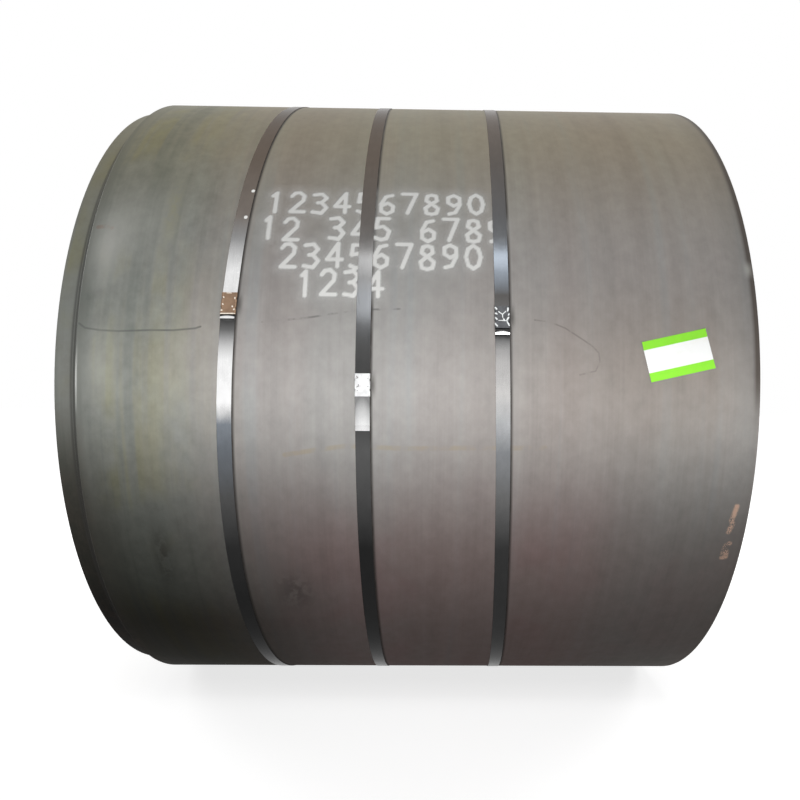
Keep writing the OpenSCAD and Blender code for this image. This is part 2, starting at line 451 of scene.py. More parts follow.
class Finish:
    """The nodes of a material or of the sky."""

    def __init__(self, name, kind="materials"):
        self.owner = getattr(bpy.data, kind).new(name)
        self.owner.use_nodes = True
        self.tree = self.owner.node_tree

    def node(self, kind, settings=None, inputs=None, out=0):
        """Adds a node, sets it up, feeds its sockets and gives one of its outputs."""
        made = self.tree.nodes.new("ShaderNode" + kind)
        for key, value in (settings or {}).items():
            setattr(made, key, value)
        for key, value in (inputs or {}).items():
            self.feed(made.inputs[key], value)
        return Value(self, made.outputs[out])

    def feed(self, socket, value):
        if isinstance(value, Value):
            self.tree.links.new(value.socket, socket)
        elif socket.type == "RGBA" and len(value) == 3:
            socket.default_value = (*value, 1)
        else:
            socket.default_value = value

    def place(self):
        """The place on a piece, in the shared frame."""
        return self.node("TexCoord", out=3)

    def attribute(self, name):
        """A value that a piece keeps at its points."""
        return self.node("Attribute", {"attribute_name": name}, out=2)

    def blend(self, factor, first, second):
        """Mixes two colours."""
        return self.node("Mix", {"data_type": "RGBA"}, {0: factor, 6: first, 7: second}, 2)

    def tint(self, colour, factor, by):
        """Multiplies a colour by another, as far as the factor says."""
        settings = {"data_type": "RGBA", "blend_type": "MULTIPLY"}
        return self.node("Mix", settings, {0: factor, 6: colour, 7: by}, 2)

    def shade(self, colour, tone):
        """Multiplies a colour by a tone of grey."""
        return self.tint(colour, 1.0, self.node("CombineColor", inputs={0: tone, 1: tone, 2: tone}))

    def noise(self, at, scale, detail=2.0, roughness=0.5, layer=0.0):
        """Soft noise about a half, stretched by a scale for each direction, and other on each layer."""
        stretched = self.node("VectorMath", {"operation": "MULTIPLY"}, {0: at, 1: scale})
        return self.node("TexNoise", {"noise_dimensions": "4D"}, {
            "Vector": stretched, "W": layer, "Scale": 1.0, "Detail": detail, "Roughness": roughness
        })

    def ramp(self, value, stops):
        """A colour ramp of (place, colour)."""
        made = self.tree.nodes.new("ShaderNodeValToRGB")
        ramp = made.color_ramp
        while len(ramp.elements) < len(stops):
            ramp.elements.new(0.5)
        for element, (place, _) in zip(ramp.elements, stops):
            element.position = place
        for element, (_, colour) in zip(ramp.elements, stops):
            element.color = (*colour, 1)
        self.feed(made.inputs[0], value)
        return Value(self, made.outputs[0])

    def round_coil(self):
        """The place; how far along, behind and over the axis it lies; its angle and distance from it."""
        place = self.place()
        x = self.node("SeparateXYZ", inputs={0: place})
        y, z = (Value(self, x.socket.node.outputs[i]) for i in (1, 2))
        up = z - AXIS_Z
        angle = up.math("ARCTAN2", -y) * math.degrees(1)
        radius = (y * y + up * up).math("SQRT")
        return place, x, y, up, angle, radius

    def line(self, at, places, width, turn_m):
        """1 on a line of places, fading to 0 at its width; turn_m is metres along the surface to a degree."""
        found = None
        flat = [Vector((x, angle * turn_m, 0)) for x, angle in places]
        for start, end in zip(flat, flat[1:]):
            run = end - start
            off = self.node("VectorMath", {"operation": "SUBTRACT"}, {0: at, 1: start})
            along = self.node("VectorMath", {"operation": "DOT_PRODUCT"}, {0: off, 1: run}, 1)
            share = self.node(
                "Math", {"operation": "DIVIDE", "use_clamp": True}, {0: along, 1: run.length_squared}
            )
            foot = self.node("VectorMath", {"operation": "SCALE"}, {0: tuple(run), "Scale": share})
            gap = self.node("VectorMath", {"operation": "DISTANCE"}, {0: off, 1: foot}, 1)
            found = gap if found is None else found.least(gap)
        return found.between(width, width * 0.3)

    def bump(self, height, strength, distance):
        return self.node("Bump", {}, {"Strength": strength, "Distance": distance, "Height": height})

    def surface(self, **sockets):
        """Sets or feeds the shader's sockets, named with underscores."""
        shader = self.tree.nodes["Principled BSDF"]
        for key, value in sockets.items():
            self.feed(shader.inputs[key.replace("_", " ")], value)
        return self.owner


def coil_steel(sizes, straps, colours):
    """Hot-rolled mill scale: streaks along the strip, mottling, rust at the rims, stains and scratches, with
    painted shade and painted highlights.
    """
    finish = Finish("coil_steel")
    place, x, y, up, angle, radius = finish.round_coil()
    outer = coil_radius(sizes)
    turn_m = math.radians(outer)
    flat = finish.node("CombineXYZ", inputs={0: x, 1: angle * turn_m})
    skin = radius.between(outer - 0.055, outer - 0.03)
    face = radius.between(outer - 0.008, outer - 0.004)
    front = skin * (y / radius).between(0.9, 0.3)

    def drawn(places, width):
        """1 on a line of places on the outer face."""
        return finish.line(flat, places, width, turn_m) * face

    def spot(along, wide, height, high):
        """1 in the middle of a spot on the outer face."""
        return x.near(along, wide) * angle.near(height, high) * face

    # Streaks follow the strip, and every turn has its own
    layer = radius * 85
    broad = finish.noise(place, (5.0, 0.45, 0.45), 3, 0.5, layer)
    streak = finish.noise(place, (26, 0.8, 0.8), 3, 0.5, layer)
    hair = finish.noise(place, (210, 2.6, 2.6), 2, 0.5, layer)
    patch = finish.noise(place, (3.6, 2.6, 2.6), 4, 0.55)
    mottle = finish.noise(place, (38, 30, 30), 4, 0.6)
    grain = finish.noise(place, (420, 300, 300), 2)

    # The scale itself, greener to the left and warmer towards the top
    colour = finish.blend(broad.between(0.35, 0.65), colours.scale_plum, colours.scale_grey)
    colour = finish.blend(streak.between(0.52, 0.72) * 0.55, colour, colours.scale_blue)
    colour = finish.blend(patch.between(0.5, 0.68) * 0.45, colour, colours.scale_plum)
    left = (x + (patch - 0.5) * 0.5).between(-0.3, -0.62) * skin
    colour = finish.blend(left * 0.85, colour, colours.scale_green)
    yellow = left * patch.between(0.45, 0.6) * streak.between(0.42, 0.58)
    colour = finish.tint(colour, yellow, (1.0, 0.96, 0.72))
    colour = finish.tint(colour, left * streak.between(0.52, 0.38) * 0.5, (0.74, 0.78, 0.76))
    colour = finish.tint(colour, left * broad.between(0.5, 0.36) * 0.55, (0.78, 0.8, 0.8))
    colour = finish.tint(colour, angle.between(14, 48) * front, (0.95, 0.87, 0.67))
    tone = 0.71 + streak * 0.4 + hair * 0.12 + (mottle - 0.5) * (0.38 + left * 0.3) + (broad - 0.5) * 0.25
    colour = finish.shade(colour, tone)

    # Painted shade low on the front and on the right of its middle band, then brown and plum low down
    # Painted shade: each tint darkens a low or end part of the front
    for (first, last), (begin, end), shade in PAINTED_FRONT_SHADE:
        colour = finish.tint(colour, angle.between(first, last) * x.between(begin, end) * front, shade)
    # Painted shade: the right of the front's middle band is made darker
    right_painted_shade = angle.near(2, 24) * (x.between(0.0, 0.6) - x.between(0.66, 0.77) * 0.5) * front
    colour = finish.tint(colour, right_painted_shade, (0.73, 0.69, 0.65))
    brown = angle.between(-8, -28) * (x.between(-0.62, -0.1) - x.between(0.3, 0.75) * 0.5) * front
    colour = finish.tint(colour, brown, (0.92, 0.78, 0.77))
    colour = finish.tint(colour, brown * patch.between(0.45, 0.6) * 0.6, (1.0, 0.88, 0.9))

    # Dark rims; painted shade in the seams beside the steps, a painted highlight on the last turn's edge and
    # painted shadow beside the straps
    right_rim = x.between(0.76, 0.778) * (0.25 + streak * 1.2) + x.between(0.7, 0.775) * 0.25
    upper = (up / radius).between(-0.12, 0.04)
    colour = finish.blend(right_rim.least(0.9) * (0.1 + upper * 0.9), colour, colours.scale_dark)
    left_rim = x.between(-0.69, -0.719) * mottle.between(0.35, 0.7)
    colour = finish.blend(left_rim * 0.3 * skin, colour, colours.scale_dark)
    # Painted shade in the corners of the two steps at the left end
    for inset, strength in ((sizes.last_inset, 0.8), (sizes.second_inset, 0.65)):
        seam = x.near(COIL_LEFT + inset - 0.0085, 0.0055) * (0.4 + streak) * skin
        colour = finish.blend(seam.least(1) * strength, colour, (0.058, 0.056, 0.053))
    # A painted highlight on the rounded edge of the last turn
    glint = spot(COIL_LEFT + sizes.last_inset + 0.003, 0.0036, 0.5, 5.5)
    colour = finish.blend(glint * 0.8, colour, (0.8, 0.81, 0.78))
    for strap in STRAPS.values():
        beside = x - strap.middle(y, up)
        # Painted shadow along each strap's right edge, wider beside its seal
        strap_shadow = beside.near(straps.width / 2 + 0.001, 0.0075) * (0.7 + mottle * 0.5)
        under = beside.near(straps.width / 2 + 0.004, 0.013) * angle.near(strap.seal, 2.6)
        colour = finish.blend(strap_shadow.most(under * 0.75).least(1) * face, colour, (0.045, 0.04, 0.036))

    # Lines and spots on the outer face; the pale spots are painted highlights
    pen = drawn(PEN_LINE, 0.0032) * (0.1 + mottle * 0.8)
    colour = finish.blend(pen, colour, (0.06, 0.065, 0.065))
    faint = drawn(FAINT_LINE, 0.0034) * mottle.between(0.42, 0.62)
    colour = finish.blend(faint * 0.5, colour, (0.06, 0.06, 0.06))
    scratch = drawn(SCRATCH, 0.0026) * mottle.between(0.34, 0.55)
    colour = finish.blend(scratch * 0.42, colour, (0.1, 0.085, 0.085))
    drip = drawn(DRIP_LINE, 0.008) * (mottle * 0.6 + streak * 0.4).between(0.4, 0.58)
    colour = finish.tint(colour, drip * 0.65, (1.0, 0.9, 0.7))
    for smear in SMEARS:
        smudge = drawn(smear, 0.0085) * (mottle * 0.5 + grain * 0.5).between(0.4, 0.53)
        colour = finish.blend(smudge, colour, colours.salmon)
    scuff = drawn(RED_SCUFF, 0.008) * mottle.between(0.36, 0.5)
    colour = finish.tint(colour, scuff, (0.9, 0.58, 0.5))
    olive = spot(-0.545, 0.032, 25.5, 9) * (mottle + patch).between(0.8, 1.05)
    colour = finish.tint(colour, olive * 0.8, (0.92, 0.88, 0.66))
    for *where, strength in LOW_DARK_SPOTS:
        dark_spot = spot(*where) * mottle.between(0.38, 0.56)
        colour = finish.tint(colour, dark_spot * strength, (0.45, 0.43, 0.42))
    # Painted highlights
    for *where, strength in PAINTED_HIGHLIGHTS:
        colour = finish.blend(spot(*where) * strength, colour, (0.62, 0.62, 0.58))

    # Rust on the ends and in the bore
    rust = (1 - skin) * (mottle * 0.6 + streak * 0.5).between(0.42, 0.78)
    colour = finish.tint(colour, 1 - skin, (0.78, 0.75, 0.72))
    colour = finish.blend(rust * 0.4, colour, colours.rust)
    rough = 0.4 + hair * 0.1 + mottle * 0.08 + rust * 0.2 + angle.between(-12, -42) * front * 0.4
    relief = hair * 0.5 + mottle * 0.35 + grain * 0.3
    return finish.surface(
        Base_Color=colour, Roughness=rough, Specular_IOR_Level=0.15,
        Normal=finish.bump(relief, 0.12, 0.002),
    )


def strap_steel(name):
    """Blued strap steel, with painted highlights and shade along it and on its cut ends, fine draw lines and
    dark scuffs.
    """
    finish = Finish("strap_steel_" + name)
    place, x, y, up, angle, radius = finish.round_coil()
    draw = finish.noise(place, (900, 22, 22), 2)
    scuff = finish.noise(place, (60, 34, 34), 4, 0.62)
    low, high = -70.0, 80.0
    stops = []
    # The brightness along each strap is painted highlights and painted shade
    for degrees, level, blue in STRAP_LIGHT_AND_TINT[name]:
        shade = (level * (1 - 0.42 * blue), level * (1 - 0.06 * abs(blue)), level * (1 + 0.42 * blue))
        stops.append(((degrees - low) / (high - low), shade))
    wander = angle + (scuff - 0.5) * 0.9
    colour = finish.ramp((wander - low) / (high - low), stops)
    colour = finish.blend((y / radius).between(-0.4, 0.05), colour, (0.085, 0.086, 0.09))
    beside = x - STRAPS[name].middle(y, up)
    # Painted shadow next to the seal and a painted highlight at the curled tip of each cut end
    tip = finish.attribute("tip")
    arched = tip - beside * beside * 900
    end = finish.ramp(arched, [(share, (level,) * 3) for share, level in TIP_SHADOW_AND_HIGHLIGHT[name]])
    colour = finish.blend(tip.between(-0.6, -0.4), colour, end)
    for across, height in PAINT_SPECKS.get(name, ()):
        speck = beside.near(across, 0.006) * angle.near(height, 0.42)
        colour = finish.blend(speck.between(0.1, 0.4), colour, (0.8, 0.8, 0.78))
    tone = 0.86 + draw * 0.14 + (scuff - 0.5) * 0.26
    colour = finish.shade(colour, tone)
    rough = 0.13 + scuff * 0.12 + draw * 0.04
    return finish.surface(
        Base_Color=colour, Roughness=rough, Metallic=1.0, Specular_Tint=(0.6, 0.6, 0.6),
        Normal=finish.bump(draw + scuff * 0.6, 0.08, 0.001),
    )


def seal_sheet(name, colour, scraped, share, metal):
    """Crimped sheet with painted light along its edges and crimps: highlights on the brown and dark seals,
    shade on the zinc one.
    """
    finish = Finish("seal_sheet_" + name)
    place = finish.place()
    worn = finish.attribute("worn")
    speck = finish.noise(place, (330, 330, 330), 4, 0.65)
    cloud = finish.noise(place, (70, 70, 70), 3)
    # Painted light from the seal's marks, with random specks
    bright = (worn * (0.5 + cloud * 0.9) + (speck - 0.5) * 0.8).between(0.25, 0.9)
    flecks = speck.between(0.66, 0.74) * share
    base = finish.tint(colour, cloud.between(0.35, 0.65) * 0.5, (0.55, 0.53, 0.52))
    base = finish.blend(bright.most(flecks), base, scraped)
    return finish.surface(
        Base_Color=base, Roughness=0.3 + cloud * 0.25, Metallic=metal,
        Normal=finish.bump(speck, 0.25, 0.0008),
    )


def label_paper(colours):
    """Coated paper with a green band at its head and foot, a little dusty."""
    finish = Finish("label_paper")
    place = finish.place()
    sheet = finish.node("UVMap", {"uv_map": "sheet"})
    height = finish.node("SeparateXYZ", inputs={0: sheet}, out=1)
    dust = finish.noise(place, (55, 55, 55), 4)
    fibre = finish.noise(place, (900, 900, 900), 2)
    band = height.between(0.788, 0.796).most(height.between(0.226, 0.218))
    colour = finish.blend(band, colours.label_white, colours.label_green)
    colour = finish.tint(colour, dust.between(0.45, 0.75) * 0.15, (0.78, 0.76, 0.68))
    return finish.surface(
        Base_Color=colour, Roughness=0.42 + dust * 0.18, Specular_IOR_Level=0.35,
        Normal=finish.bump(fibre + dust * 2, 0.06, 0.0004),
    )


def spray_paint(colours):
    """Thin sprayed white that lets the steel show through where it is hazy."""
    finish = Finish("spray_paint")
    place = finish.place()
    cover = finish.attribute("cover")
    speck = finish.noise(place, (260, 260, 260), 4, 0.65)
    cloud = finish.noise(place, (28, 28, 28), 3)
    alpha = (cover * (0.8 + cloud * 0.5) + (speck - 0.5) * 0.4 * cover.between(0, 0.35)).most(0).least(0.97)
    return finish.surface(
        Base_Color=colours.spray_white, Roughness=0.72, Specular_IOR_Level=0.25, Alpha=alpha
    )


class COIL_OT_winding(bpy.types.Operator):
    """Winds the strip: the inner turns with their ends and the bore, and the last turn with its tail"""

    bl_idname = "coil.winding"
    bl_label = "Winding"

    def execute(self, context):
        sizes, straps, colours = context.scene.coil_sizes, context.scene.strap_sizes, context.scene.finishes
        steel = coil_steel(sizes, straps, colours)
        inner = self.inner_turns(sizes)
        dress(inner, steel, "coil", "coil_steel")
        last = self.last_turn(sizes)
        self.unroll(last, sizes)
        dress(last, steel, "coil", "coil_steel")
        return {"FINISHED"}

    @staticmethod
    def start(sizes, turn):
        """How far a turn's edge stands in from the left end, turns counted from the outside."""
        if turn == 0:
            return sizes.last_inset
        if turn == 1:
            return sizes.second_inset
        return sizes.stray * ((7 * min(turn, sizes.turns - 1)) % 10) / 10

    def inset(self, sizes, turn, share):
        """The same with the way on the hidden back where each turn passes over into the next one out."""
        here = self.start(sizes, turn)
        if turn == 0:
            return here
        over = smooth((share - CROSSING) / (1 - CROSSING))
        return here + (self.start(sizes, turn - 1) - here) * over

    def inner_turns(self, sizes):
        pitch, rounding = sizes.strip_t, sizes.edge_round
        rings = sizes.turns - 1
        steps = 200
        edge = ((0.3, 0.45), (1.0, 0.0))
        comb = []
        for ring in range(rings):
            low = BORE_R + ring * pitch
            comb.append((low, 1.0))
            comb += [(low + out * rounding, depth) for out, depth in edge]
            comb += [(low + pitch - out * rounding, depth) for out, depth in reversed(edge)]
        comb.append((BORE_R + rings * pitch, 1.0))
        left = [(radius, -1 - depth) for radius, depth in comb]
        right = [(radius, 1 + depth) for radius, depth in reversed(comb)]

        def place(step, radius, x):
            share = step / steps
            depth = abs(x) - 1
            ring = (radius - BORE_R) / pitch
            nearest = round(ring)
            on_gap = abs(ring - nearest) * pitch < rounding * 0.1
            pair = (nearest - 1, nearest) if on_gap else (math.floor(ring),) * 2
            insets = [self.inset(sizes, sizes.turns - 1 - index, share) for index in pair]
            if x > 0:
                insets = [sizes.last_inset - inset for inset in insets]
            deep = max(insets) + (sizes.groove if on_gap else depth * rounding)
            end = COIL_LEFT + deep if x < 0 else COIL_RIGHT - deep
            return (end, *wound(sizes, radius, share))

        return spun("coil_inner_turns", left + right, steps, place, closed=False)

    def last_turn(self, sizes):
        steps, spans = 480, 12
        rounding = sizes.edge_round
        outer = coil_radius(sizes)
        inner = outer - sizes.strip_t + TURN_GAP
        corner = [(rounding * (1 - math.cos(a)), rounding * (1 - math.sin(a)))
                  for a in (math.pi / 2 * i / 3 for i in range(4))]
        edge = [(inner + out, depth) for out, depth in corner]
        edge += [(outer - out, depth) for out, depth in reversed(corner)]
        near, far = COIL_LEFT + sizes.last_inset, COIL_RIGHT
        profile = [(radius, near + depth) for radius, depth in edge]
        flat = far - near - 2 * rounding
        profile += [(outer, near + rounding + flat * i / spans) for i in range(1, spans)]
        profile += [(radius, far - depth) for radius, depth in reversed(edge)]

        def place(step, radius, x):
            return (x, *wound(sizes, radius, step / steps))

        return spun("coil_last_turn", profile, steps, place, closed=False)

    @staticmethod
    def unroll(piece, sizes):
        """Lays the last turn flat in four rows on its own map, its hidden inner face in a thin margin."""
        mesh = piece.data
        layer = mesh.uv_layers.new(name="OFBake")
        rows, margin = 4, 0.01
        strip_u, strip_wide, strip_v = 0.002, 0.004, 0.02
        outer = coil_radius(sizes)
        for face in mesh.polygons:
            middle = face.center
            out = Vector((0, middle.y, middle.z - AXIS_Z))
            turn = (math.atan2(out.y, -out.z) - sizes.tail) % math.tau / math.tau
            row = min(rows - 1, int(turn * rows))
            hidden = out.length < outer - sizes.strip_t * 0.7
            for loop in face.loop_indices:
                place = mesh.vertices[mesh.loops[loop].vertex_index].co
                share = (math.atan2(place.y, AXIS_Z - place.z) - sizes.tail) % math.tau / math.tau
                share += round(turn - share)
                across = (place.x - COIL_LEFT) / (COIL_RIGHT - COIL_LEFT)
                if hidden:
                    layer.uv[loop].vector = (
                        strip_u + across * strip_wide, strip_v + share * (1 - 2 * strip_v)
                    )
                    continue
                u, v = share * rows - row, across
                column, line = row % 2, row // 2
                layer.uv[loop].vector = (
                    margin + (column + margin + u * (1 - 2 * margin)) * (1 - margin) / 2,
                    (line + margin + v * (1 - 2 * margin)) / 2,
                )


class COIL_OT_straps(bpy.types.Operator):
    """Draws the three straps tight round the coil, over their seals and over the tail, with their cut ends"""

    bl_idname = "coil.straps"
    bl_label = "Straps"

    def execute(self, context):
        sizes, straps = context.scene.coil_sizes, context.scene.strap_sizes
        for name, strap in STRAPS.items():
            band = self.band(sizes, straps, name, strap)
            end = self.cut_end(sizes, straps, name, strap)
            self.mark(sizes, straps, strap, band, end)
            only(band)
            end.select_set(True)
            bpy.ops.object.join()
            dress(band, strap_steel(name), "strap_" + name, "strap_steel", 30)
        return {"FINISHED"}

    @staticmethod
    def tight(sizes, straps, seat, share, height):
        """Distance of a tight band from the axis: share from the tail's line, height over the coil."""
        turn = math.tau * share
        base = coil_radius(sizes)
        radius = base + height
        if share >= 0.5:
            shift = sizes.strip_t / 2
            turn -= math.pi
            return -shift * math.cos(turn) + math.sqrt((radius + shift) ** 2 - (shift * math.sin(turn)) ** 2)
        drop = math.acos(radius / (radius + sizes.strip_t))
        if turn < drop:
            return radius / math.cos(turn - drop)
        half = straps.seal_len / 2
        pad = base + height + straps.seal_t + straps.seal_gap
        pad_turn = math.atan2(half, pad)
        leave = pad_turn + math.acos(radius / math.hypot(pad, half))
        off = abs(turn - seat)
        if off <= pad_turn:
            return pad / math.cos(off)
        return radius / math.cos(leave - off) if off < leave else radius

    @staticmethod
    def seat(sizes, strap):
        """Where the seal sits, as a turn from the tail's line round over the top."""
        return math.radians(270 - strap.seal) - sizes.tail

    @staticmethod
    def lay(sizes, straps, strap, turn, radius, across):
        """A place on a strap, which is pinched where its seal is crimped."""
        y, z = at_angle(radius, sizes.tail + turn)
        down = (turn - COIL_OT_straps.seat(sizes, strap)) * coil_radius(sizes)
        across *= 1 - crimped(straps, down) / (straps.width / 2)
        return strap.middle(y, z - AXIS_Z) + strap.across(across), y, z

    @staticmethod
    def section(straps, low):
        """A strap's section from a height up, its edges lightly rounded."""
        half, high, nip = straps.width / 2, low + straps.thick, straps.thick * 0.3
        return [
            (1 + low, -half + nip), (1 + low + nip, -half), (1 + high - nip, -half), (1 + high, -half + nip),
            (1 + high, 0), (1 + high, half - nip), (1 + high - nip, half), (1 + low + nip, half),
            (1 + low, half - nip), (1 + low, 0),
        ]

    def band(self, sizes, straps, name, strap):
        seat = self.seat(sizes, strap)
        coarse = [math.radians(0.75 * i) for i in range(481)]
        fine = [seat + math.radians(0.08 * i) for i in range(-60, 61)]
        turns = sorted([turn for turn in coarse if abs(turn - seat) > math.radians(4.85)] + fine)

        def place(step, radius, x):
            turn = turns[step]
            reach = self.tight(sizes, straps, seat, turn / math.tau, radius - 1)
            return self.lay(sizes, straps, strap, turn, reach, x)

        return spun("strap_band_" + name, self.section(straps, straps.seat_gap), len(turns) - 1, place)

    def cut_end(self, sizes, straps, name, strap):
        seat = self.seat(sizes, strap)
        outer = coil_radius(sizes)
        first = seat - straps.seal_len / 3 / outer
        last = seat + (straps.seal_len / 2 + strap.cut) / outer
        steps = 60
        curl, curl_run = 0.0035 if strap.cut < 0.03 else 0.0022, 0.013

        def place(step, radius, x):
            turn = first + (last - first) * step / steps
            left = (last - turn) * outer
            reach = self.tight(sizes, straps, seat, turn / math.tau, radius - 1)
            return self.lay(sizes, straps, strap, turn, reach + curl * smooth(1 - left / curl_run), x)

        low = straps.seat_gap + straps.thick + LAP_GAP
        return spun("strap_end_" + name, self.section(straps, low), steps, place, closed=False)

    @staticmethod
    def mark(sizes, straps, strap, band, end):
        """Writes how far along the cut end each point lies, from seal (0) to tip (1), or -1 on the band."""
        outer = coil_radius(sizes)
        start = COIL_OT_straps.seat(sizes, strap) + straps.seal_len / 2 / outer
        shares = []
        for vertex in end.data.vertices:
            turn = (math.atan2(vertex.co.y, AXIS_Z - vertex.co.z) - sizes.tail) % math.tau
            shares.append(max(0.0, (turn - start) * outer / strap.cut))
        write_values(band, "tip", [-1.0] * len(band.data.vertices))
        write_values(end, "tip", shares)


def crimped(straps, down):
    """How far a seal's edge is pressed in, at a distance below its middle."""
    reach, pressed = 0.0042, 0.7
    near = min(abs(abs(down) - straps.crimp_pitch / 2) / reach, 1)
    return straps.crimp * pressed * (1 - smooth(near)) if abs(down) < straps.seal_len / 2 else 0


class COIL_OT_seals(bpy.types.Operator):
    """Folds the three seals round their straps and crimps them"""

    bl_idname = "coil.seals"
    bl_label = "Seals"

    def execute(self, context):
        sizes, straps, colours = context.scene.coil_sizes, context.scene.strap_sizes, context.scene.finishes
        looks = {
            "left": (colours.seal_brown, (0.85, 0.78, 0.68), 0.15, 0.45, "seal_bronze_tone"),
            "middle": (colours.seal_zinc, (0.13, 0.13, 0.13), 0.0, 0.5, "seal_zinc"),
            "right": (colours.seal_dark, (0.6, 0.62, 0.62), 0.5, 0.5, "seal_dark"),
        }
        for name, strap in STRAPS.items():
            *look, slot = looks[name]
            piece = self.sleeve(sizes, straps, name, strap)
            dress(piece, seal_sheet(name, *look), "seal_" + name, slot, 40)
        return {"FINISHED"}

    @staticmethod
    def fold_line(straps):
        """The sheet's middle line across the strap, from one side of the seam round to the other."""
        sheet, bend = straps.seal_t, 0.0012
        half = straps.width / 2 + straps.seal_gap + sheet / 2
        low = straps.seat_gap + sheet / 2
        high = low + sheet + 2 * straps.seal_gap + 2 * straps.thick
        line = [(straps.seam / 2, low)]
        for across, height, first in ((half, low, -90), (half, high, 0)):
            side = 1 if height == low else -1
            for i in range(5):
                a = math.radians(first + 22.5 * i)
                line.append((across - bend + bend * math.cos(a), height + side * bend + bend * math.sin(a)))
        line.append((0.0, high))
        return [(-x, h) for x, h in line[:-1]] + [(x, h) for x, h in reversed(line)]

    @staticmethod
    def scrape(name, place):
        """1 on a seal's painted highlights and shade, fading to 0 at their reach."""
        most = 0.0
        for begin, end, reach in SEAL_PAINTED_LIGHT[name]:
            begin, run = Vector(begin), Vector(end) - Vector(begin)
            share = min(1.0, max(0.0, (place - begin).dot(run) / run.length_squared))
            most = max(most, 1 - smooth((place - begin - run * share).length / reach))
        return most

    def sleeve(self, sizes, straps, name, strap):
        piece = start_piece(
            "seal_sleeve_" + name, bpy.ops.mesh.primitive_grid_add,
            x_subdivisions=78, y_subdivisions=44, size=2,
        )
        line = self.fold_line(straps)
        reach = [0.0]
        for (x0, h0), (x1, h1) in zip(line, line[1:]):
            reach.append(reach[-1] + math.hypot(x1 - x0, h1 - h0))
        seat = math.radians(strap.seal)
        base = coil_radius(sizes)
        half = straps.width / 2
        flank, bulge, sink = 0.005, 0.0007, 0.0004
        worn = []
        for vertex in piece.data.vertices:
            run = (vertex.co.x + 1) / 2 * reach[-1]
            across = float(np.interp(run, reach, [x for x, _ in line]))
            height = float(np.interp(run, reach, [h for _, h in line]))
            down = vertex.co.y * straps.seal_len / 2
            edge = smooth((abs(across) - half + flank) / flank)
            press = crimped(straps, down)
            start = across
            across -= math.copysign(press * edge, across)
            top = height > straps.seat_gap + straps.seal_t * 1.6
            height += (bulge * edge * (1 - press / straps.crimp) - sink * edge) if top else 0
            y, z = on_front(base + height, seat)
            y -= down * math.sin(seat)
            z -= down * math.cos(seat)
            vertex.co = (strap.middle(y, z - AXIS_Z) + strap.across(across), y, z)
            worn.append(self.scrape(name, Vector((start, down)) * 1000) if top else 0.0)
        write_values(piece, "worn", worn)
        thicken(piece, straps.seal_t)
        return piece


class COIL_OT_label(bpy.types.Operator):
    """Lays the paper label on the coil's front"""

    bl_idname = "coil.label"
    bl_label = "Label"

    def execute(self, context):
        sizes, straps = context.scene.coil_sizes, context.scene.strap_sizes
        label, colours = context.scene.label_sizes, context.scene.finishes
        piece = start_piece(
            "label_sheet", bpy.ops.mesh.primitive_grid_add, x_subdivisions=48, y_subdivisions=30, size=2
        )
        piece.data.uv_layers[0].name = "sheet"
        base = coil_radius(sizes) + straps.seat_gap + label.paper / 2
        ripple = 0.0005
        for vertex in piece.data.vertices:
            u, v = vertex.co.x, vertex.co.y
            lift = label.corner_lift * (abs(u) * abs(v)) ** 5
            lift += ripple * max(0.0, math.sin(5 * u + 1)) * smooth((v - 0.55) / 0.45)
            wide, high = u * label.width / 2, v * label.height / 2
            along = wide * math.cos(label.turn) - high * math.sin(label.turn)
            above = wide * math.sin(label.turn) + high * math.cos(label.turn)
            vertex.co = (label.along + along, *on_front(base + lift, label.angle + above / base))
        thicken(piece, label.paper)
        dress(piece, label_paper(colours), "label", "label_paper")
        return {"FINISHED"}


